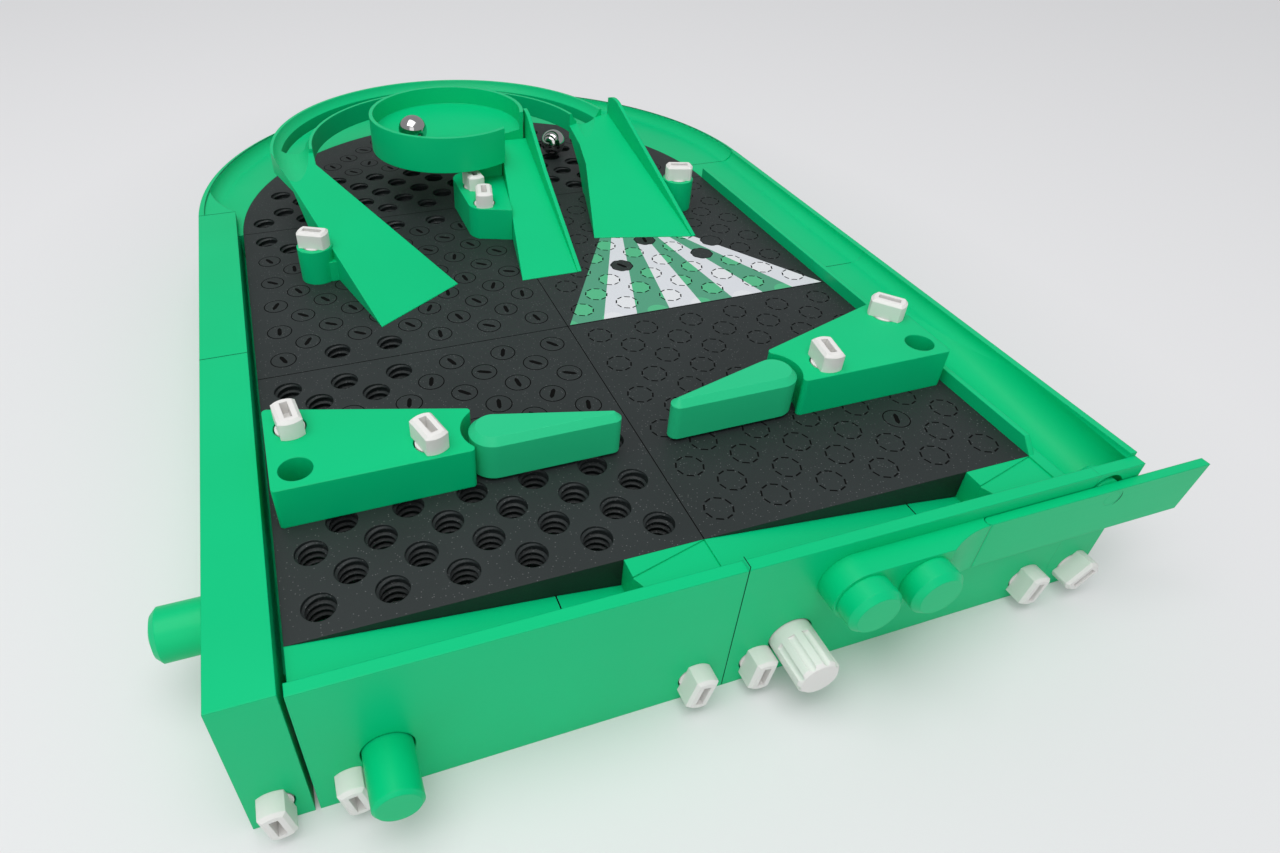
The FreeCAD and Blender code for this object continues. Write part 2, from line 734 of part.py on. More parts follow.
FACE_FRONT = Rotation(X_AXIS, 90)
for number, (x, z, twist) in enumerate(((-0.545, PIN_Z, 8), (0.49, PIN_Z, 10), (5.68, PIN_Z, -14),
                                        (6.73, PIN_Z, -8), (12.02, PIN_Z, -10),
                                        (13.07, PIN_Z, -40))):
    turn = FACE_FRONT.multiply(about_z(twist))
    turn_pin("frame_pin_%d" % (number + 1), (x, FRONT_FACE, z), turn, 0.19)


# The orbit: a wide entry ramp, a half circle of track open along its bottom, and an exit ramp.
TRACK_CENTRE = (5.27, 12.2)
TRACK_HALF = 0.48
TRACK_RIM = 0.07
PIPE_RADIUS = 0.43
PIPE_ABOVE = 0.13
SLOT_HALF = 0.27
TRACK_DEEP = 0.47
pipe_z = track_top + at(PIPE_ABOVE)


def edge_direction(edge):
    (x0, y0), (x1, y1) = edge
    return Vector(x1 - x0, y1 - y0, 0).normalize()


def ramp_body(name, corners, edge, slope, top, under):
    """A ramp: a plan outline, cut by a slope that rises from the line of its front edge."""
    body = new_body(name)
    base = plan(body, name + "_outline", 0)
    outline(base, corners)
    pad(body, name + "_block", base, top)
    x0, y0 = edge[0]
    inward = Z_AXIS.cross(edge_direction(edge))
    above = new_sketch(body, name + "_slope_outline", (x0, y0, 0), inward, Z_AXIS)
    run = 7.5
    outline(above, ((-0.5, -0.5 * slope), (run, run * slope), (run, 3.2), (-0.5, 3.2)))
    bore(body, name + "_slope", above)
    below = new_sketch(body, name + "_under_outline", (x0, y0, 0), inward, Z_AXIS)
    start, high = under
    outline(below, ((start, -0.1), (run, -0.1), (run, high), (start + high * 1.1, high),
                    (start, 0.0)))
    bore(body, name + "_under", below)
    return body


def post(body, name, spot, reach):
    """A round post that holds a ramp down, joined to its side by a web."""
    ring = plan(body, name + "_outline", 0)
    circles(ring, (spot,), pitch * 0.74)
    pad(body, name, ring, feature_high)
    web = plan(body, name + "_web_outline", 0)
    x, y = spot
    side = 1 if reach > x else -1
    outline(web, ((x, y - side * 0.30), (reach, y - side * 0.30), (reach, y + side * 0.30),
                  (x, y + side * 0.30)))
    pad(body, name + "_web", web, 0.45)
    block_holes(body, name, (spot,))


entry_edge = ((2.45, 6.57), (4.30, 7.79))
entry_left = TRACK_CENTRE[0] - track_radius.value / pitch.value - TRACK_HALF
entry_right = TRACK_CENTRE[0] - track_radius.value / pitch.value + TRACK_HALF
entry = ramp_body(
    "orbit_entry_ramp",
    (entry_edge[0], entry_edge[1], (entry_right, 11.75), (entry_right, TRACK_CENTRE[1]),
     (entry_left, TRACK_CENTRE[1])),
    entry_edge, 0.305, track_top, (3.0, 1.15))
post(entry, "entry_post", RAMP_PINS[0], 1.95)
pipe_x = at(TRACK_CENTRE[0]) - track_radius
run_in = front_view(entry, "entry_pipe_outline", TRACK_CENTRE[1], (pipe_x, pipe_z))
circles(run_in, ((0, 0),), pitch * (PIPE_RADIUS * 2))
pocket(entry, "entry_pipe", run_in, 2.2, reverse=True)

exit_edge = ((7.89, 8.93), (10.16, 8.32))
TRACK_END = 9.0
track_mid = track_radius.value / pitch.value


def track_end(radius):
    angle = math.radians(TRACK_END)
    return (TRACK_CENTRE[0] + radius * math.cos(angle), TRACK_CENTRE[1] + radius * math.sin(angle))


exit_ramp = ramp_body(
    "orbit_exit_ramp",
    (exit_edge[0], exit_edge[1], (9.71, 12.91), track_end(track_mid + TRACK_HALF),
     track_end(track_mid - TRACK_HALF), (8.60, 12.0), (8.52, 11.29)),
    exit_edge, 0.345, track_top, (2.6, 1.0))
along = edge_direction(exit_edge)
travel = (Z_AXIS.cross(along) + Z_AXIS * 0.22).normalize()
pipe_end = track_end(track_mid)
start = Vector(pipe_end[0], pipe_end[1], pipe_z.value / pitch.value) - travel * 1.8
run_out = new_sketch(exit_ramp, "exit_pipe_outline", (start.x, start.y, start.z),
                     along, along.cross(travel))
circles(run_out, ((0, 0),), pitch * (PIPE_RADIUS * 2))
pocket(exit_ramp, "exit_pipe", run_out, 2.4)


def exit_wall():
    """The wall on the exit ramp's right: nothing at the exit, and highest beside the track."""
    body = new_body("orbit_exit_wall")
    base = plan(body, "exit_wall_outline", 0)
    low, high = exit_edge[1], (9.71, 12.91)
    outline(base, (low, (low[0] + 0.09, low[1] + 0.01), (high[0] + 0.09, high[1] + 0.01), high))
    pad(body, "exit_wall_block", base, 1.95)
    above = side_view(body, "exit_wall_top_outline", 0)
    outline(above, ((low[1] - 0.1, 0.0), (low[1], 0.02), (12.3, 1.86), (high[1] + 0.02, 1.88),
                    (high[1] + 0.02, 2.2), (low[1] - 0.1, 2.2)), {2: (12.65, 1.95)})
    bore(body, "exit_wall_top", above)
    post(body, "exit_post", RAMP_PINS[1], 10.03)
    return body


exit_wall()


def track():
    body = new_body("orbit_track", (TRACK_CENTRE[0], TRACK_CENTRE[1], 0), about_z(TRACK_END))
    section = front_view(body, "track_outline", 0)
    low = track_top - at(TRACK_DEEP)
    middle = track_radius
    half = at(TRACK_HALF)
    lip = at(TRACK_HALF - TRACK_RIM)
    outline(section, ((middle - half, low), (middle + half, low), (middle + half, track_top),
                      (middle + lip, track_top), (middle - lip, track_top),
                      (middle - half, track_top)),
            {3: (middle, pipe_z - at(PIPE_RADIUS))})
    revolve(body, "track_band", section, "V_Axis", 180.0 - TRACK_END)
    slot = front_view(body, "track_slot_outline", 0)
    outline(slot, ((middle - at(SLOT_HALF), low - at(0.1)), (middle + at(SLOT_HALF), low - at(0.1)),
                   (middle + at(SLOT_HALF), track_top), (middle - at(SLOT_HALF), track_top)))
    revolve(body, "track_slot", slot, "V_Axis", 171.5 - TRACK_END, kind="Groove")
    return body


track()


# The spiral: a walled ramp that runs up into the side of an open bowl.
BOWL_CENTRE = (5.3, 12.7)
BOWL_WALL = 0.09
BOWL_FLOOR = 1.20
BOWL_LOW = 1.30
BOWL_SLOPE = 0.21
BOWL_FLAT = 0.3
SPIRAL_SLOPE = 0.30
SPIRAL_LEAN = 0.046


def bowl_height(radius):
    """Height of the floor's slope at a distance from the bowl's middle."""
    return BOWL_LOW + BOWL_SLOPE * (radius - BOWL_FLAT)


def bowl():
    body = new_body("spiral_bowl", (BOWL_CENTRE[0], BOWL_CENTRE[1], 0))
    section = front_view(body, "bowl_outline", 0)
    wall = bowl_radius - at(BOWL_WALL)
    foot = bowl_height(wall.value / pitch.value)
    outline(section, ((0, BOWL_FLOOR), (bowl_radius, BOWL_FLOOR), (bowl_radius, bowl_rim),
                      (wall, bowl_rim), (wall, foot), (BOWL_FLAT, BOWL_LOW), (0, BOWL_LOW)))
    revolve(body, "bowl_shell", section, "V_Axis")
    drop = plan(body, "bowl_drop_outline", BOWL_FLOOR)
    circles(drop, ((-0.25, -1.15),), pitch * 0.86)
    pocket(body, "bowl_drop", drop, 1.0, reverse=True)
    return body


bowl_part = bowl()
SPIRAL_LOW = 7.51
SPIRAL_HIGH = 12.08
door = plan(bowl_part, "bowl_door_outline", 0)
sill = SPIRAL_HIGH - BOWL_CENTRE[1]
outline(door, ((1.02, -1.9), (2.2, -1.9), (2.2, sill), (6.47 - BOWL_CENTRE[0], sill),
               (6.355 - BOWL_CENTRE[0], 11.35 - BOWL_CENTRE[1])))
bore(bowl_part, "bowl_door", door)


def spiral_ramp():
    body = new_body("spiral_ramp")
    low_y, high_y = SPIRAL_LOW, SPIRAL_HIGH
    base = plan(body, "spiral_ramp_outline", 0)
    outline(base, ((5.67, low_y), (6.95, low_y),
                   (6.95 + SPIRAL_LEAN * (high_y - low_y), high_y), (6.47, high_y),
                   (6.36, 11.35)))
    pad(body, "spiral_ramp_block", base, 1.8)
    above = side_view(body, "spiral_slope_outline", 0)
    rise = (high_y - low_y) * SPIRAL_SLOPE
    outline(above, ((low_y - 0.5, -0.5 * SPIRAL_SLOPE), (high_y + 0.5, rise + 0.5 * SPIRAL_SLOPE),
                    (high_y + 0.5, 2.6), (low_y - 0.5, 2.6)))
    bore(body, "spiral_slope", above)
    return body


spiral_ramp()


def spiral_wall():
    """The ramp's right wall: it grows from nothing at the exit and meets the bowl's rim."""
    body = new_body("spiral_wall")
    low_y, high_y = SPIRAL_LOW, 12.3
    base = plan(body, "spiral_wall_outline", 0)
    reach = SPIRAL_LEAN * (high_y - low_y)
    outline(base, ((6.95, low_y), (7.04, low_y), (7.04 + reach, high_y),
                   (6.95 + reach, high_y)))
    pad(body, "spiral_wall_block", base, bowl_rim)
    above = side_view(body, "spiral_wall_top_outline", 0)
    outline(above, ((low_y - 0.1, 0), (low_y, 0.02), (10.4, 1.18), (11.6, 1.80), (high_y, bowl_rim),
                    (high_y + 0.1, bowl_rim), (high_y + 0.1, 2.6), (low_y - 0.1, 2.6)),
            {3: (11.93, 1.98)})
    bore(body, "spiral_wall_top", above)
    return body


# The block beside the spiral ramp, with the two holes that hold it and the bowl down.
def spiral_mount():
    body = new_body("spiral_mount")
    base = plan(body, "spiral_mount_outline", 0)
    reach = 0.38
    outline(base, ((5.5 - reach, 9.98), (5.27, 9.70), (6.01, 9.42), (6.35, 11.35), (6.35, 11.9),
                   (5.5, 11.9), (5.5 - reach, 11.4)),
            {0: (5.19, 9.80), 5: (5.21, 11.75)})
    block = pad(body, "spiral_mount_block", base, feature_high)
    block_holes(body, "spiral_mount", RAMP_PINS[2:])
    step = plan(body, "spiral_mount_step_outline", feature_high)
    outline(step, ((5.35, 11.42), (6.35, 11.42), (6.35, 11.9), (5.5, 11.9)))
    pad(body, "spiral_mount_step", step, BOWL_FLOOR - 0.75)
    return body


# The flippers: a taper between two circles, seen from above, with bevelled top edges. Each
# turns on a shaft that fills the tile's hole and ends in a crank under the playfield: a round
# hub, a slim arm and a round nose that the side button's plunger pushes.
FLIPPER_LONG = 1.93
BASE_RADIUS = 0.39
TIP_RADIUS = 0.14
DROOP = 7.5
FLIPPER_LOW = 0.06
FLIPPER_TOP = 0.82
SPIGOT = 0.36
ARM_LONG = 0.80
ARM_HALF = 0.08
ARM_SWING = 18.0
ARM_LOW = -1.35
ARM_THICK = 0.30
HUB_RADIUS = 0.36
NOSE_RADIUS = 0.14


def taper_outline(sketch, length, big, small):
    """The outline of two circles and the straight lines that touch both."""
    lean = math.asin((big - small) / length)
    s, c = math.sin(lean), math.cos(lean)
    outline(sketch, ((big * s, big * c), (big * s, -big * c), (length + small * s, -small * c),
                     (length + small * s, small * c)),
            {0: (-big, 0), 2: (length + small, 0)})


def flipper(name, pivot, heading):
    body = new_body(name, (pivot[0], pivot[1], 0), about_z(heading))
    base = plan(body, name + "_outline", FLIPPER_LOW)
    taper_outline(base, FLIPPER_LONG, BASE_RADIUS, TIP_RADIUS)
    blade = pad(body, name + "_blade", base, FLIPPER_TOP - FLIPPER_LOW)
    doc.recompute()
    top = at(FLIPPER_TOP).value
    dress(body, name + "_bevel", "Chamfer", blade, edges_where(blade.Shape, level_at(top)), 0.11)
    socket = plan(body, name + "_socket_outline", FLIPPER_LOW)
    circles(socket, ((0, 0),), pitch * SPIGOT)
    pocket(body, name + "_socket", socket, 0.4, reverse=True)
    return body


def flipper_shaft(name, pivot, heading):
    body = new_body(name, (pivot[0], pivot[1], 0), about_z(heading))
    journal = plan(body, name + "_journal_outline", ARM_LOW)
    circles(journal, ((0, 0),), hole_dia - shaft_play * 2)
    pad(body, name + "_journal", journal, FLIPPER_LOW - ARM_LOW)
    spigot = plan(body, name + "_spigot_outline", FLIPPER_LOW)
    circles(spigot, ((0, 0),), pitch * SPIGOT - shaft_play)
    pad(body, name + "_spigot", spigot, 0.38)
    hub = plan(body, name + "_hub_outline", ARM_LOW)
    circles(hub, ((0, 0),), pitch * (HUB_RADIUS * 2))
    pad(body, name + "_hub", hub, ARM_THICK)
    arm = plan(body, name + "_arm_outline", ARM_LOW)
    outline(arm, ((0, -ARM_HALF), (ARM_LONG, -ARM_HALF), (ARM_LONG, ARM_HALF), (0, ARM_HALF)))
    pad(body, name + "_arm", arm, ARM_THICK)
    nose = plan(body, name + "_nose_outline", ARM_LOW)
    circles(nose, ((ARM_LONG, 0),), pitch * (NOSE_RADIUS * 2))
    pad(body, name + "_nose", nose, ARM_THICK)
    return body


flipper("flipper_left", FLIPPER_PIVOTS[0], -DROOP)
flipper("flipper_right", FLIPPER_PIVOTS[1], 180 + DROOP)
flipper_shaft("flipper_shaft_left", FLIPPER_PIVOTS[0], -90 - ARM_SWING)
flipper_shaft("flipper_shaft_right", FLIPPER_PIVOTS[1], -90 + ARM_SWING)


# The side buttons. Each is the domed end of one long plunger that pushes a crank's nose.
ROD_RADIUS = 0.22
ROD_TIP = 0.14


def plunger(name, end_x, ledge_x, pivot_x, turn):
    body = new_body(name, (end_x, BUTTON_Y, BUTTON_Z), turn)
    section = front_view(body, name + "_outline", 0)
    radius = button_dia * 0.5
    inner_face = abs(ledge_x - end_x) + 0.012
    nose = ARM_LONG * math.sin(math.radians(ARM_SWING)) + NOSE_RADIUS
    tip = abs(pivot_x - end_x) - nose - 0.012
    outline(section, ((0, 0), (0, 0.16), (0.05, 0.33), (0.14, radius), (inner_face, radius),
                      (inner_face, 0.52), (inner_face + 0.12, 0.52),
                      (inner_face + 0.12, ROD_RADIUS), (tip - 0.08, ROD_RADIUS), (tip, ROD_TIP),
                      (tip, 0)))
    revolve(body, name + "_turned", section, "H_Axis")
    return body


RIGHT_BUTTON_END = LANE_OUTER + RAIL_OUTER - LEFT_END
plunger("side_plunger_left", LEFT_END, LEDGE_LEFT, FLIPPER_PIVOTS[0][0], Rotation())
plunger("side_plunger_right", RIGHT_BUTTON_END, LEDGE_RIGHT, FLIPPER_PIVOTS[1][0],
        about_z(180))


# The launcher: a clamped block and a long leaf, printed as one bar, that is pulled and let go.
BAR_TOP = -0.08
BAR_LOW = -1.06
LEAF_ROOT = 10.40
LEAF_FACE = -1.53
LEAF_BACK = -1.37
LEAF_MIDDLE = (LEAF_FACE + LEAF_BACK) / 2
LEAF_HALF = (LEAF_BACK - LEAF_FACE) / 2
BLOCK_FACE = -1.77


def launcher_block():
    body = new_body("launcher_block")
    seat = LEAF_HALF + 0.012
    front_corner = LEAF_ROOT - math.sqrt(seat ** 2 - LEAF_HALF ** 2)
    back_corner = LEAF_ROOT - math.sqrt(seat ** 2 - (FRONT_FACE - LEAF_MIDDLE) ** 2)
    base = plan(body, "launcher_block_outline", BAR_LOW)
    outline(base, ((7.53, FRONT_FACE), (7.53, BLOCK_FACE), (9.50, BLOCK_FACE),
                   (front_corner, LEAF_FACE), (back_corner, FRONT_FACE)),
            {2: (9.93, -1.592), 3: (LEAF_ROOT - seat, LEAF_MIDDLE)})
    pad(body, "launcher_block_bar", base, BAR_TOP - BAR_LOW)
    middle = (BAR_TOP + BAR_LOW) / 2
    half = (BAR_TOP - BAR_LOW) / 2
    end = front_view(body, "launcher_end_outline", FRONT_FACE)
    outline(end, ((7.4, BAR_TOP + 0.1), (7.4, BAR_LOW - 0.1), (BOLTS[0], BAR_LOW - 0.1),
                  (BOLTS[0], middle - half), (BOLTS[0], middle + half),
                  (BOLTS[0], BAR_TOP + 0.1)),
            {3: (BOLTS[0] - half, middle)})
    bore(body, "launcher_end", end)
    holes = front_view(body, "launcher_bolt_hole_outline", FRONT_FACE)
    circles(holes, [(x, BAR_MIDDLE) for x in BOLTS], bolt_dia)
    bore(body, "launcher_bolt_holes", holes)
    return body


def launcher_leaf():
    body = new_body("launcher_leaf")
    base = plan(body, "launcher_leaf_outline", BAR_LOW)
    outline(base, ((LEAF_ROOT, LEAF_BACK), (LEAF_ROOT, LEAF_FACE), (RIGHT_END, LEAF_FACE),
                   (RIGHT_END, LEAF_BACK)),
            {0: (LEAF_ROOT - LEAF_HALF, LEAF_MIDDLE)})
    pad(body, "launcher_leaf_strip", base, BAR_TOP - BAR_LOW)
    end = front_view(body, "leaf_end_outline", FRONT_FACE)
    outline(end, ((RIGHT_END, BAR_TOP), (RIGHT_END + 0.1, BAR_TOP), (RIGHT_END + 0.1, BAR_LOW),
                  (RIGHT_END - 0.16, BAR_LOW)))
    bore(body, "leaf_end", end)
    hole = front_view(body, "leaf_hole_outline", FRONT_FACE)
    circles(hole, ((STRIKER_X, STRIKER_Z),), pitch * 0.30)
    bore(body, "leaf_hole", hole)
    return body


def turned(name, where, section_points, arcs=None):
    """A turned piece whose axis runs from front to back."""
    body = new_body(name, where)
    section = side_view(body, name + "_outline", 0)
    outline(section, section_points, arcs)
    revolve(body, name + "_turned", section, "H_Axis")
    return body


launcher_block()
launcher_leaf()
turned("striker", (STRIKER_X, LEAF_FACE, STRIKER_Z),
       ((0, 0), (0, 0.15), (LEAF_BACK - LEAF_FACE, 0.15), (LEAF_BACK - LEAF_FACE, 0.26),
        (0.52, 0.26), (0.58, 0.20), (0.58, 0)))
for name, x in (("launcher_bolt_left", BOLTS[0]), ("launcher_bolt_right", BOLTS[1])):
    turned(name, (x, BLOCK_FACE, BAR_MIDDLE),
           ((-0.38, 0), (-0.38, 0.35), (-0.29, 0.44), (0, 0.44), (0, 0.246), (0.6, 0.246),
            (0.6, 0)))

# The two round controls of the front: a smooth push knob and a fluted turning knob.
knob_radius = knob_dia * 0.5
turned("push_knob", (GREEN_KNOB[0], KNOB_END, GREEN_KNOB[1]),
       ((0, 0), (0, knob_radius - at(0.05)), (0.05, knob_radius), (1.052, knob_radius),
        (1.052, 0.46), (1.16, 0.46), (1.16, 0)))
fluted = turned("turning_knob", (WHITE_KNOB[0], KNOB_END, WHITE_KNOB[1]),
                ((0, 0), (0, knob_radius - at(0.05)), (0.05, knob_radius), (1.052, knob_radius),
                 (1.052, 0.46), (1.16, 0.46), (1.16, 0)))
FLUTES = 9
flute = front_view(fluted, "flute_outline", 0)
flute_ring = knob_radius + at(0.03)
circles(flute, [(flute_ring * math.cos(2 * math.pi * k / FLUTES),
                 flute_ring * math.sin(2 * math.pi * k / FLUTES)) for k in range(FLUTES)],
        pitch * 0.14)
pocket(fluted, "flutes", flute, 0.64)

spiral_wall()
spiral_mount()

# Two steel balls: one behind the ramps on the playfield, one in the bowl.
ball_radius = ball_dia.value / 2 / pitch.value
BALL_REACH = 1.05
lean = math.atan(BOWL_SLOPE)
touch_reach = BALL_REACH + ball_radius * math.sin(lean)
bowl_ball_z = bowl_height(touch_reach) + ball_radius * math.cos(lean)
bowl_ball_x = BOWL_CENTRE[0] - BALL_REACH * math.cos(math.radians(25))
bowl_ball_y = BOWL_CENTRE[1] - BALL_REACH * math.sin(math.radians(25))
for name, where in (("ball_on_playfield", (8.63, 14.2, ball_radius)),
                    ("ball_in_bowl", (bowl_ball_x, bowl_ball_y, bowl_ball_z))):
    ball = doc.addObject("Part::Sphere", name)
    ball.Label = name
    ball.Radius = ball_dia.value / 2
    bind(ball, "Radius", ball_dia * 0.5)
    place(ball, where)

doc.recompute()

# Every feature must have worked before anything is written.
failed = [thing.Name for thing in doc.Objects
          if "Invalid" in thing.State or "Error" in thing.State]
if failed:
    raise RuntimeError("these features failed: " + ", ".join(failed))
pieces = doc.findObjects("PartDesign::Body") + doc.findObjects("Part::Sphere")
for piece in pieces:
    if piece.Shape.isNull() or not piece.Shape.isValid():
        raise RuntimeError("no sound shape: " + piece.Label)
os.makedirs("parts", exist_ok=True)
for piece in pieces:
    piece.Shape.exportStep("parts/%s.step" % piece.Label)
    solids = len(piece.Shape.Solids)
    print("%-24s solids %d volume %9.0f" % (piece.Label, solids, piece.Shape.Volume))
print(len(pieces), "sub-parts")
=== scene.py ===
import math

import bpy
from mathutils import Matrix, Vector


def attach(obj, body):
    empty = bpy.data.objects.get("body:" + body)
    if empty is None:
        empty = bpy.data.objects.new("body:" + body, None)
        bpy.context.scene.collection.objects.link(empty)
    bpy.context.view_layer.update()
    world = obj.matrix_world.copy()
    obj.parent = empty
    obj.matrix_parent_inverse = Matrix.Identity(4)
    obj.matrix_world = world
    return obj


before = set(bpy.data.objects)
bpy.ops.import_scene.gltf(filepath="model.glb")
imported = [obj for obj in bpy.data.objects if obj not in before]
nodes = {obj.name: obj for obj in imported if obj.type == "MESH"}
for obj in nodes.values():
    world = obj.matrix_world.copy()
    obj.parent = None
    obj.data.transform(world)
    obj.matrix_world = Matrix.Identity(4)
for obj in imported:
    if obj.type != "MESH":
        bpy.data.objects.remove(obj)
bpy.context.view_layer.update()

# The printed frame: side rails, round arch, front wall and drain troughs, all in one green.
# It is printed in satin plastic, so it has a soft gloss, faint layer lines along the height
# and slightly rounded edges. The blocks, ramps and buttons are printed from it too.
GREEN = (0.0, 0.590, 0.228, 1.0)
GREEN_DEEP = (0.0, 0.520, 0.195, 1.0)
LAYER_HIGH = 0.0003
LAYER_DRIFT = 30.0


class Value:
    """A number or colour in a finish, which can be added, multiplied and so on."""

    def __init__(self, finish, socket):
        self.finish = finish
        self.socket = socket

    def combine(self, operation, first, second):
        return self.finish.node("Math", {"operation": operation}, {0: first, 1: second})

    def __add__(self, other):
        return self.combine("ADD", self, other)

    def __sub__(self, other):
        return self.combine("SUBTRACT", self, other)

    def __mul__(self, other):
        return self.combine("MULTIPLY", self, other)


class Finish:
    """One procedural material."""

    def __init__(self, name):
        self.material = bpy.data.materials.new(name)
        self.material.use_nodes = True
        self.tree = self.material.node_tree
        self.surface = self.tree.nodes["Principled BSDF"]

    def put(self, value, socket):
        if isinstance(value, Value):
            self.tree.links.new(value.socket, socket)
        else:
            socket.default_value = value

    def node(self, kind, settings, values, output=0):
        made = self.tree.nodes.new("ShaderNode" + kind)
        for name, setting in settings.items():
            setattr(made, name, setting)
        for name, value in values.items():
            self.put(value, made.inputs[name])
        return Value(self, made.outputs[output])

    def blend(self, share, first, second):
        settings = {"data_type": "RGBA"}
        return self.node("Mix", settings, {0: share, 6: first, 7: second}, 2)

    def set(self, name, value):
        self.put(value, self.surface.inputs[name])

    def paint(self, *pieces):
        for piece in pieces:
            piece.data.materials.clear()
            piece.data.materials.append(self.material)


def printed(name, tone, deep, roughness, edge):
    """A printed plastic: broad drift of tone, layer lines up its height and soft edges."""
    made = Finish(name)
    place = made.node("TexCoord", {}, {}, "Object")
    drift = made.node("TexNoise", {}, {"Vector": place, "Scale": 14.0, "Detail": 2.0})
    made.set("Base Color", made.blend(drift, tone, deep))
    stretch = (LAYER_DRIFT, LAYER_DRIFT, 1.0 / LAYER_HIGH)
    stretched = made.node("Mapping", {}, {"Vector": place, "Scale": stretch})
    layers = made.node("TexNoise", {}, {"Vector": stretched, "Scale": 1.0, "Detail": 1.0})
    grain = made.node("TexNoise", {}, {"Vector": place, "Scale": 900.0, "Detail": 2.0})
    made.set("Roughness", layers * 0.10 + grain * 0.06 + (roughness - 0.08))
    rounded = made.node("Bevel", {"samples": 6}, {"Radius": edge})
    height = layers * 0.75 + grain * 0.25
    made.set("Normal", made.node("Bump", {}, {"Strength": 0.12, "Distance": 0.00008,
                                             "Height": height, "Normal": rounded}))
    return made


green_print = printed("green_print", GREEN, GREEN_DEEP, 0.38, 0.0007)
green_print.set("Specular IOR Level", 0.18)
FRAME_PARTS = ("left_rail_front", "left_rail_rear", "right_rail_front", "right_rail_rear",
               "arch_left", "arch_right", "front_wall_left", "front_wall_right",
               "drain_trough_left", "drain_trough_right")
green_print.paint(*[nodes[name] for name in FRAME_PARTS])

# The six playfield tiles and the beams under them: matte black plastic with fine bright
# specks. A tile's holes lie on two grids, half a pitch apart. Some are open and threaded, some
# are closed by slotted plugs, and the rest are covers that break out along eight short slits.
BLACK = (0.0120, 0.0170, 0.0172, 1.0)
BLACK_WORN = (0.0220, 0.0290, 0.0295, 1.0)
SPECK = (0.105, 0.111, 0.113, 1.0)
PITCH = 0.028
CORNER = Vector((-0.18032, -0.2422, 0.0728))
TILES = (("front_left", 0, -0.5), ("front_right", 6, -0.5), ("middle_left", 0, 5.5),
         ("middle_right", 6, 5.5), ("rear_left", 0, 11.5), ("rear_right", 6, 11.5))

black_print = Finish("black_print")
place = black_print.node("TexCoord", {}, {}, "Object")
cloud = black_print.node("TexNoise", {}, {"Vector": place, "Scale": 22.0, "Detail": 3.0})
fine = black_print.node("TexNoise", {}, {"Vector": place, "Scale": 1500.0, "Detail": 1.0})
grains = black_print.node("TexVoronoi", {}, {"Vector": place, "Scale": 850.0})
body_tone = black_print.blend(cloud, BLACK, BLACK_WORN)
dots = black_print.node("MapRange", {}, {0: grains, 1: 0.14, 2: 0.26, 3: 1.0, 4: 0.0})
chance = Value(black_print, grains.socket.node.outputs["Color"])
chosen = black_print.node("MapRange", {}, {0: chance, 1: 0.66, 2: 0.68, 3: 0.0, 4: 1.0})
specks = dots * chosen
black_print.set("Base Color", black_print.blend(specks, body_tone, SPECK))
black_print.set("Roughness", fine * 0.16 + 0.46)
rounded = black_print.node("Bevel", {"samples": 4}, {"Radius": 0.0004})
black_print.set("Normal", black_print.node("Bump", {}, {
    "Strength": 0.35, "Distance": 0.00012, "Height": fine, "Normal": rounded}))
black_print.set("Specular IOR Level", 0.40)
black_print.paint(*[nodes["tile_" + name] for name, left, front in TILES])
black_print.paint(nodes["cross_beam_front"], nodes["cross_beam_rear"])

# Flat near-black marks for slits, gaps and joints: painted shade where the real cuts and crevices
# are dark.
painted_slit_shade = Finish("painted_slit_shade")
place = painted_slit_shade.node("TexCoord", {}, {}, "Object")
shade_mottle = painted_slit_shade.node("TexNoise", {}, {"Vector": place, "Scale": 700.0})
painted_slit_shade.set("Base Color", painted_slit_shade.blend(shade_mottle, (0.001, 0.001, 0.001, 1.0),
                                              (0.004, 0.004, 0.004, 1.0)))
painted_slit_shade.set("Roughness", 0.9)
painted_slit_shade.set("Specular IOR Level", 0.1)


def spot(x, y, z=0.0):
    """A point given in pitches from the playfield's front left corner, in metres."""
    return CORNER + Vector((x, y, z)) * PITCH


def near(x, y, spots):
    return any(abs(x - a) < 0.1 and abs(y - b) < 0.1 for a, b in spots)


def hole_spots(left, front):
    """All hole centres of one tile."""
    whole = range(6)
    across = [(left + i + 0.5, front + j + 0.5) for i in whole for j in whole]
    between = [(left + i, front + j + 1.0) for i in whole[1:] for j in whole[:-1]]
    return across + between


def piece(name, points, faces, finish, body, slot_name):
    """Makes one mesh piece from corners in pitches, and lets it ride on a body."""
    mesh = bpy.data.meshes.new(name)
    mesh.from_pydata([spot(*corner) for corner in points], [], faces)
    mesh.update()
    made = bpy.data.objects.new(name, mesh)
    bpy.context.scene.collection.objects.link(made)
    finish.paint(made)
    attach(made, body)
    return made


FILLED = ((0.5, 3.0), (2.5, 2.0), (9.5, 2.0), (11.5, 3.0), (1.5, 9.0), (10.5, 10.0), (5.5, 10.0),
          (5.5, 11.0), (3.5, 2.0), (8.5, 2.0))
OPEN_FRONT = ((0.5, 5.0), (1.0, 4.5), (1.5, 5.0), (2.0, 4.5), (2.5, 5.0), (0.5, 2.0))
OPEN_MIDDLE = ((1.5, 6.0), (2.5, 6.0), (1.0, 10.5), (0.5, 11.0))
SLOTTED_RIGHT = ((10.5, 1.0),)
BROKEN_OUT = ((8.0, 7.5), (9.0, 8.5), (10.0, 7.5), (10.5, 8.0))


def is_open(name, x, y):
    if near(x, y, FILLED):
        return False
    inside = math.hypot(x - 6.0, y - 11.5) < 5.55
    if name == "front_left":
        return y < 2.2 or near(x, y, OPEN_FRONT)
    if name == "middle_left":
        return near(x, y, OPEN_MIDDLE) or (y > 10.9 and x > 3.4)
    if name == "rear_left":
        return inside and y < 14.2
    if name == "rear_right":
        return inside and 7.4 < x < 9.2
    return False


def is_covered(x, y):
    """Tells a place that a block or ramp stands on."""
    sling = 1.5 < y < 3.9 and (x < 3.5 or x > 8.5)
    return sling or near(x, y, FILLED) or (5.1 < x < 6.9 and 9.4 < y < 12.0)


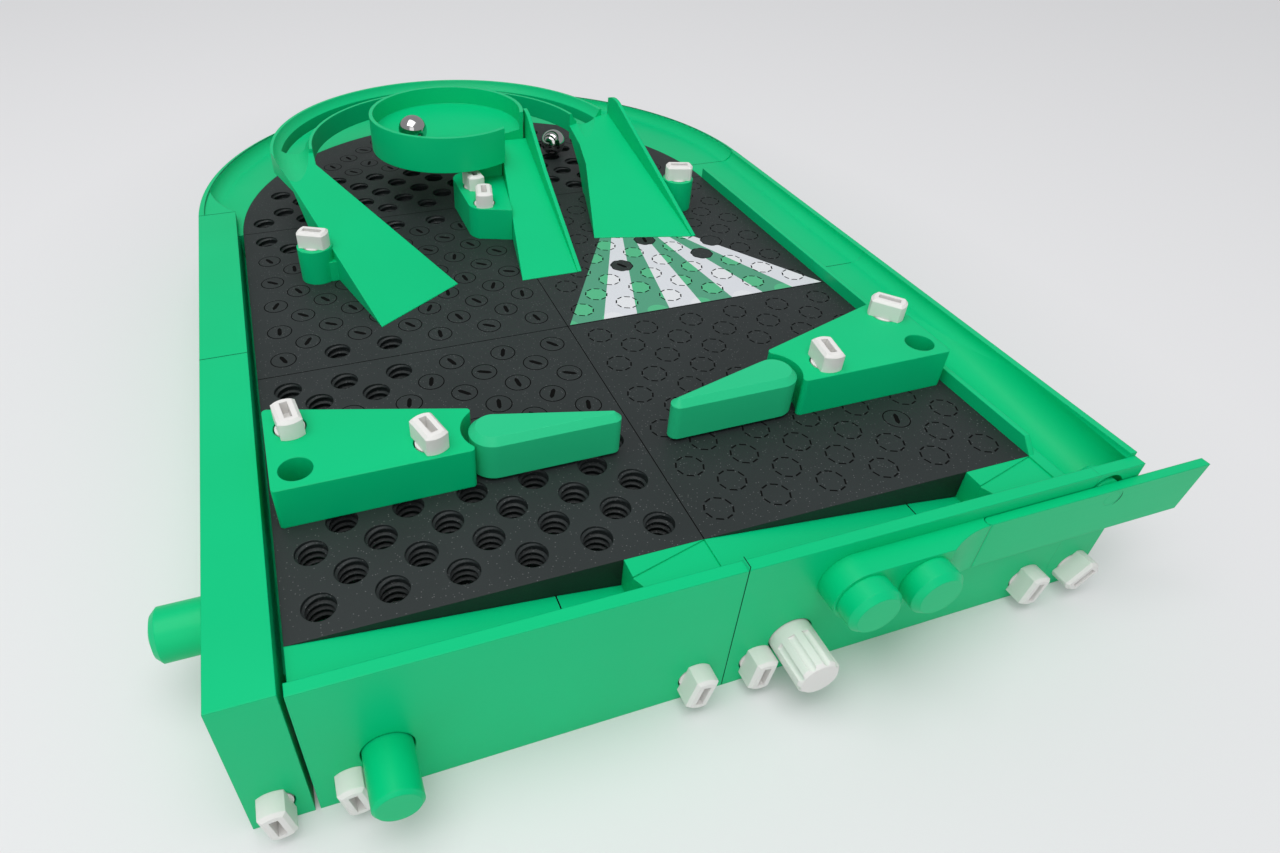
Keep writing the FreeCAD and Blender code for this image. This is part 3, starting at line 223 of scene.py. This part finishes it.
# The threads of the open holes: one ridge that winds down the wall of each hole, cut into the
# black plastic of the tile when it is printed. Each tile's threads are one piece.
HOLE_RADIUS = 0.2425
RIDGE = 0.040
THREAD_RISE = 0.125
TURNS = 3.9
STEPS = 24


def thread(points, faces, x, y):
    base = len(points)
    count = int(TURNS * STEPS)
    for step in range(count + 1):
        turn = step / STEPS * 2 * math.pi
        fade = min(1.0, step / 8, (count - step) / 8)
        middle = -0.045 - step / STEPS * THREAD_RISE
        for reach, lift in ((0.0, 0.034), (RIDGE * fade, 0.010), (RIDGE * fade, -0.010),
                            (0.0, -0.034)):
            radius = HOLE_RADIUS - reach
            points.append((x + radius * math.cos(turn), y + radius * math.sin(turn),
                           middle + lift))
    for step in range(count):
        low = base + step * 4
        for side in range(3):
            faces.append((low + side, low + side + 1, low + side + 5, low + side + 4))


for name, left, front in TILES:
    points = []
    faces = []
    for x, y in hole_spots(left, front):
        if is_open(name, x, y):
            thread(points, faces, x, y)
    if points:
        piece("threads_" + name, points, faces, black_print, "table", "black_print")

# The plugs that close a hole: each is a black disc, level with the tile, with a thin gap round
# it and a slot for a coin. They are screwed in, so their slots stand at all angles. The gap and
# the slot are flat dark marks of painted shade.
PLUG_LIFT = 0.0030
PLUG_RADIUS = 0.222
GAP_RADIUS = 0.242
SLOT_LONG = 0.138
SLOT_WIDE = 0.040
ROUND = 28


def ring(points, x, y, radius, z, scallops=0.0):
    first = len(points)
    for step in range(ROUND):
        turn = step / ROUND * 2 * math.pi
        reach = radius + scallops * abs(math.sin(turn * 4))
        points.append((x + reach * math.cos(turn), y + reach * math.sin(turn), z))
    return list(range(first, first + ROUND))


def band(faces, outer, inner):
    for step in range(ROUND):
        after = (step + 1) % ROUND
        faces.append((outer[step], outer[after], inner[after], inner[step]))


def plug(points, faces, x, y, radius, scallops):
    foot = ring(points, x, y, radius, 0.0, scallops)
    edge = ring(points, x, y, radius, PLUG_LIFT * 0.6, scallops)
    face_edge = ring(points, x, y, radius - 0.008, PLUG_LIFT, scallops)
    band(faces, foot, edge)
    band(faces, edge, face_edge)
    faces.append(tuple(face_edge))


def slot_mark(points, faces, x, y, angle, z):
    """A flat slot mark with pointed ends, lying at an angle: painted shade in the plug's slot."""
    first = len(points)
    shape = ((-1.0, -0.3), (-0.6, -1.0), (0.6, -1.0), (1.0, -0.3), (1.0, 0.3), (0.6, 1.0),
             (-0.6, 1.0), (-1.0, 0.3))
    for along, across in shape:
        a = along * SLOT_LONG
        b = across * SLOT_WIDE
        points.append((x + a * math.cos(angle) - b * math.sin(angle),
                       y + a * math.sin(angle) + b * math.cos(angle), z))
    faces.append(tuple(range(first, first + len(shape))))


# A flat ring of painted shade: the gap round a plug.
def gap_ring(points, faces, x, y, inner, outer, z, scallops=0.0):
    band(faces, ring(points, x, y, outer, z, scallops), ring(points, x, y, inner, z, scallops))


for name, left, front in TILES:
    discs = []
    disc_faces = []
    marks = []
    mark_faces = []
    for number, (x, y) in enumerate(hole_spots(left, front)):
        beyond = y > 11.5 and math.hypot(x - 6.0, y - 11.5) > 5.55
        slotted = name in ("front_left", "middle_left", "rear_left", "rear_right") or \
            near(x, y, SLOTTED_RIGHT)
        broken = near(x, y, BROKEN_OUT)
        if beyond or is_open(name, x, y) or is_covered(x, y) or not (slotted or broken):
            continue
        angle = (number * 137.5 + left * 31 + front * 17) % 180.0
        angle = math.radians(angle * 0.55 + 60.0)
        scallops = 0.022 if broken else 0.0
        plug(discs, disc_faces, x, y, PLUG_RADIUS, scallops)
        gap_ring(marks, mark_faces, x, y, PLUG_RADIUS, GAP_RADIUS, 0.0012, scallops)
        if x < 9.6 or y < 5:
            slot_mark(marks, mark_faces, x, y, angle, PLUG_LIFT + 0.0006)
    if discs:
        piece("plugs_" + name, discs, disc_faces, black_print, "table", "black_print")
        piece("plug_gaps_" + name, marks, mark_faces, painted_slit_shade, "table", "black_print")

# The break-out covers of the right tiles: eight short slits round each, cut through the tile
# and through the coloured fan. The shade in them is painted as thin dark strips on the surface.
COVER_RADIUS = 0.247
SLIT_WIDE = 0.030
SLITS = 8
for name, left, front in TILES:
    if left == 0 or front > 11:
        continue
    points = []
    faces = []
    for x, y in hole_spots(left, front):
        if is_covered(x, y) or near(x, y, SLOTTED_RIGHT) or near(x, y, BROKEN_OUT):
            continue
        for slit in range(SLITS):
            middle = (slit + 0.5) / SLITS * 2 * math.pi
            first = len(points)
            for side, radius in ((-1, COVER_RADIUS), (1, COVER_RADIUS),
                                 (1, COVER_RADIUS - SLIT_WIDE), (-1, COVER_RADIUS - SLIT_WIDE)):
                turn = middle + side * 0.27
                points.append((x + radius * math.cos(turn), y + radius * math.sin(turn), 0.0012))
            faces.append((first, first + 1, first + 2, first + 3))
    piece("cover_slits_" + name, points, faces, painted_slit_shade, "table", "black_print")

# The tiles only touch; the thin line of shade in the joint between each two of them is painted
# as a dark strip.
SEAM_HALF = 0.009
SEAM_LIFT = 0.001
points = []
faces = []
for low, high in (((6.0, -0.49), (6.0, 17.3)), ((0.01, 5.5), (11.99, 5.5)),
                  ((0.01, 11.5), (11.99, 11.5))):
    first = len(points)
    across = SEAM_HALF if low[0] == high[0] else 0.0
    along = SEAM_HALF - across
    points += [(low[0] - across, low[1] - along, SEAM_LIFT),
               (high[0] + across, low[1] - along, SEAM_LIFT),
               (high[0] + across, high[1] + along, SEAM_LIFT),
               (low[0] - across, high[1] + along, SEAM_LIFT)]
    faces.append((first, first + 1, first + 2, first + 3))
piece("tile_seams", points, faces, painted_slit_shade, "table", "black_print")

# Two more places where pieces only meet or part: the joints of the rails and of the front wall,
# and the narrow slit across each drain trough, just before its pocket. The shade in each is
# painted as a dark strip.
JOINT_HALF = 0.007
LIFT = 0.0012
RAIL_TOP = 0.25
RAIL_DEEP = 2.6
RAIL_OUTER = -0.94
RAIL_INNER = -0.10
LANE_FLOOR = (12.02, 13.08)
LIP_FRONT = -1.36
LIP_BACK = -1.16
TILE_EDGE = -0.5
JOINTS = (6.08, 12.3)
FRONT_JOINT = 6.24
SLIT_ACROSS = 0.035
SLIT_FOLD = 3.71
FLOOR_FALL = -0.42
points = []
faces = []


def strip(corners):
    first = len(points)
    points.extend(corners)
    faces.append((first, first + 1, first + 2, first + 3))


for y in JOINTS:
    low = y - JOINT_HALF
    high = y + JOINT_HALF
    top = RAIL_TOP + LIFT
    strip(((RAIL_OUTER, low, top), (RAIL_INNER, low, top), (RAIL_INNER, high, top),
           (RAIL_OUTER, high, top)))
    left, right = LANE_FLOOR
    strip(((left, low, LIFT), (right, low, LIFT), (right, high, LIFT), (left, high, LIFT)))
    side = RAIL_OUTER - LIFT
    strip(((side, low, -RAIL_DEEP), (side, low, top), (side, high, top), (side, high, -RAIL_DEEP)))
low = FRONT_JOINT - JOINT_HALF
high = FRONT_JOINT + JOINT_HALF
front = LIP_FRONT - LIFT
top = RAIL_TOP + LIFT
wall = nodes["front_wall_left"]
wall_low = min((wall.matrix_world @ corner.co).z for corner in wall.data.vertices)
foot = (wall_low - CORNER.z) / PITCH + 0.02
strip(((low, front, foot), (high, front, foot), (high, front, top), (low, front, top)))
strip(((low, LIP_FRONT, top), (high, LIP_FRONT, top), (high, LIP_BACK, top), (low, LIP_BACK, top)))
piece("frame_joints", points, faces, painted_slit_shade, "table", "black_print")

points = []
faces = []
for start in (0.0, 6.0):
    fold = start + SLIT_FOLD
    level = FLOOR_FALL + LIFT * 2
    start_x = fold - SLIT_ACROSS
    strip(((start_x, LIP_BACK, level), (fold, LIP_BACK, level), (fold, TILE_EDGE, level),
           (start_x, TILE_EDGE, level)))
piece("trough_slits", points, faces, painted_slit_shade, "table", "black_print")

# The fan let into the middle right tile: thin green and white stripes, printed into its face.
# The stripes are duller than the frame, and the covers in the green ones are brighter.
STRIPE_GREEN = (0.075, 0.335, 0.200, 1.0)
CAP_GREEN = (0.080, 0.480, 0.235, 1.0)
STRIPE_WHITE = (0.700, 0.720, 0.760, 1.0)
CAP_WHITE = (0.760, 0.775, 0.800, 1.0)


def stripe_finish(name, tone, cap):
    made = Finish(name)
    place = made.node("TexCoord", {}, {}, "Object")
    apart = made.node("SeparateXYZ", {}, {"Vector": place})
    across = Value(made, apart.socket.node.outputs["X"]) * (1 / PITCH) - CORNER.x / PITCH
    along = Value(made, apart.socket.node.outputs["Y"]) * (1 / PITCH) - CORNER.y / PITCH

    def cap_distance(shift_x, shift_y):
        x = made.node("Math", {"operation": "FRACT"}, {0: across + shift_x}) - 0.5
        y = made.node("Math", {"operation": "FRACT"}, {0: along + shift_y}) - 0.5
        return made.node("Math", {"operation": "SQRT"}, {0: x * x + y * y})

    distance = made.node("Math", {"operation": "MINIMUM"},
                         {0: cap_distance(0.0, 0.5), 1: cap_distance(0.5, 0.0)})
    grain = made.node("TexNoise", {}, {"Vector": place, "Scale": 600.0, "Detail": 2.0})
    inside = made.node("MapRange", {}, {0: distance, 1: 0.228, 2: 0.234, 3: 1.0, 4: 0.0})
    made.set("Base Color", made.blend(inside, tone, cap))
    made.set("Roughness", grain * 0.15 + 0.42)
    made.set("Normal", made.node("Bump", {}, {"Strength": 0.2, "Distance": 0.0001,
                                             "Height": grain}))
    return made


stripe_finish("stripe_green", STRIPE_GREEN, CAP_GREEN).paint(nodes["inlay_green"])
stripe_finish("stripe_white", STRIPE_WHITE, CAP_WHITE).paint(nodes["inlay_white"])

# The slings, posts, ramps, track and bowl: green prints that stand on the tiles. White pins hold
# the slings and posts down, and the ramps hang on the posts.
PLAYFIELD_PARTS = ("sling_left", "sling_right", "orbit_entry_ramp", "orbit_exit_ramp",
                   "orbit_exit_wall", "orbit_track", "spiral_bowl", "spiral_ramp", "spiral_wall",
                   "spiral_mount")
green_print.paint(*[nodes[name] for name in PLAYFIELD_PARTS])

# The quarter-turn pins: white prints with long flat heads and a deep slot. They drop into the
# holes of the blocks and the frame and lock with a quarter turn.
WHITE = (0.860, 0.850, 0.825, 1.0)
WHITE_DEEP = (0.770, 0.760, 0.740, 1.0)
white_print = printed("white_print", WHITE, WHITE_DEEP, 0.50, 0.0005)
white_print.set("Specular IOR Level", 0.35)
white_print.set("Subsurface Weight", 0.05)
white_print.set("Subsurface Radius", (0.002, 0.002, 0.0018))
PINS = [name for name in nodes if name.startswith(("sling_pin", "ramp_pin", "frame_pin"))]
white_print.paint(*[nodes[name] for name in PINS])

# The flippers with their shafts, and the side buttons that push them, all printed. Each flipper
# sits on its shaft, which turns under the tiles when the button pushes its crank.
# The flippers are paler and mossier than the frame: partly a different spool, partly painted
# sheen on their tops. Their layers stand out more.
FLIPPER_GREEN_AND_SHEEN = (0.024, 0.598, 0.266, 1.0)
FLIPPER_DEEP = (0.012, 0.520, 0.222, 1.0)
flipper_print = printed("flipper_print", FLIPPER_GREEN_AND_SHEEN, FLIPPER_DEEP, 0.42, 0.0004)
flipper_print.set("Specular IOR Level", 0.22)
flipper_print.paint(nodes["flipper_left"], nodes["flipper_right"])
BUTTON_PARTS = ("flipper_shaft_left", "flipper_shaft_right", "side_plunger_left",
                "side_plunger_right")
green_print.paint(*[nodes[name] for name in BUTTON_PARTS])

# The launcher: a clamped block with two round bolts, and one long leaf with the striker. The
# striker's round foot shows on the leaf's face as a thin crescent slit, its shade painted as a
# dark crescent.
LAUNCHER_PARTS = ("launcher_block", "launcher_leaf", "striker", "launcher_bolt_left",
                  "launcher_bolt_right")
green_print.paint(*[nodes[name] for name in LAUNCHER_PARTS])
STRIKER_SPOT = (12.82, -0.26)
points = []
faces = []
CRESCENT_STEPS = 14
CRESCENT_RADIUS = 0.205
CRESCENT_THICK = 0.020
CRESCENT_FRONT = -1.5312
for step in range(CRESCENT_STEPS + 1):
    share = step / CRESCENT_STEPS
    turn = math.radians(-62 + 95 * share)
    thick = CRESCENT_THICK * math.sin(math.pi * share)
    for radius in (CRESCENT_RADIUS - thick / 2, CRESCENT_RADIUS + thick / 2):
        points.append((STRIKER_SPOT[0] + radius * math.cos(turn), CRESCENT_FRONT,
                       STRIKER_SPOT[1] + radius * math.sin(turn)))
for step in range(CRESCENT_STEPS):
    faces.append((step * 2, step * 2 + 2, step * 2 + 3, step * 2 + 1))
piece("striker_crescent", points, faces, painted_slit_shade, "launch_lever", "green_print")

# The two controls in the front wall, both printed: a smooth green knob that is pushed in, and a
# fluted white one that turns. Each passes through a round hole in the wall.
green_print.paint(nodes["push_knob"])
white_print.paint(nodes["turning_knob"])

# The balls are polished steel, with a faint haze of handling. They lie loose: one on the tiles,
# and one in the bowl.
STEEL = (0.560, 0.555, 0.550, 1.0)
steel = Finish("ball_steel")
place = steel.node("TexCoord", {}, {}, "Object")
haze = steel.node("TexNoise", {}, {"Vector": place, "Scale": 160.0, "Detail": 3.0})
steel.set("Base Color", steel.blend(haze, STEEL, (0.48, 0.475, 0.47, 1.0)))
steel.set("Metallic", 1.0)
steel.set("Roughness", haze * 0.08 + 0.05)
steel.paint(nodes["ball_on_playfield"], nodes["ball_in_bowl"])

# The table top under the game, and plain soft light from above and from the front left. Away
# from the game the table also glows a little to the camera, so that it stays nearly white there.
floor_mesh = bpy.data.meshes.new("table_top")
reach = 6.0
floor_mesh.from_pydata([(-reach, -reach, 0), (reach, -reach, 0), (reach, reach, 0),
                        (-reach, reach, 0)], [], [(0, 1, 2, 3)])
floor = bpy.data.objects.new("table_top", floor_mesh)
bpy.context.scene.collection.objects.link(floor)
floor_white = Finish("table_white")
floor_white.set("Base Color", (0.80, 0.80, 0.81, 1.0))
floor_white.set("Roughness", 0.6)
floor_white.set("Specular IOR Level", 0.2)
floor_glow = floor_white.node("Emission", {}, {"Color": (0.835, 0.835, 0.850, 1.0)})
seen = floor_white.node("LightPath", {}, {}, "Is Camera Ray")
place = floor_white.node("TexCoord", {}, {}, "Object")
flat = floor_white.node("Mapping", {}, {"Vector": place, "Scale": (1.0, 0.70, 1.0)})
away = floor_white.node("VectorMath", {"operation": "LENGTH"}, {"Vector": flat}, "Value")
clear = floor_white.node("MapRange", {}, {0: away, 1: 0.21, 2: 0.42, 3: 0.0, 4: 0.5})
plain = Value(floor_white, floor_white.surface.outputs[0])
mixed = floor_white.node("MixShader", {}, {0: seen * clear, 1: plain, 2: floor_glow})
floor_white.put(mixed, floor_white.tree.nodes["Material Output"].inputs["Surface"])
floor_white.paint(floor)


def soft_lamp(name, where, size, power):
    lamp = bpy.data.lights.new(name, "AREA")
    lamp.size = size
    lamp.energy = power
    made = bpy.data.objects.new(name, lamp)
    made.location = where
    aim = Vector((0.0, 0.0, 0.05)) - Vector(where)
    made.rotation_euler = aim.to_track_quat("-Z", "Y").to_euler()
    bpy.context.scene.collection.objects.link(made)


soft_lamp("ceiling_lamp", (-0.35, -0.35, 1.60), 1.5, 19.0)
soft_lamp("window_lamp", (-0.70, -1.90, 0.90), 1.4, 6.0)
world = bpy.data.worlds.new("room")
bpy.context.scene.world = world
world.use_nodes = True
room = world.node_tree.nodes["Background"]
room.inputs["Color"].default_value = (0.97, 0.98, 1.0, 1.0)
room.inputs["Strength"].default_value = 0.42
bpy.context.scene.view_settings.view_transform = "Standard"

# The camera stands where the photograph's stood: over the front left, looking down the game.
camera_data = bpy.data.cameras.new("camera")
camera_data.sensor_width = 36.0
camera_data.lens = 23.0293
camera_data.shift_x = 0.06935
camera_data.shift_y = -0.01479
camera_data.clip_start = 0.01
camera = bpy.data.objects.new("camera", camera_data)
camera.matrix_world = Matrix(((0.947407, 0.188638, -0.258527, -0.148979),
                              (-0.319695, 0.594905, -0.737484, -0.452463),
                              (0.014682, 0.781347, 0.623924, 0.324573),
                              (0.0, 0.0, 0.0, 1.0)))
bpy.context.scene.collection.objects.link(camera)
bpy.context.scene.camera = camera
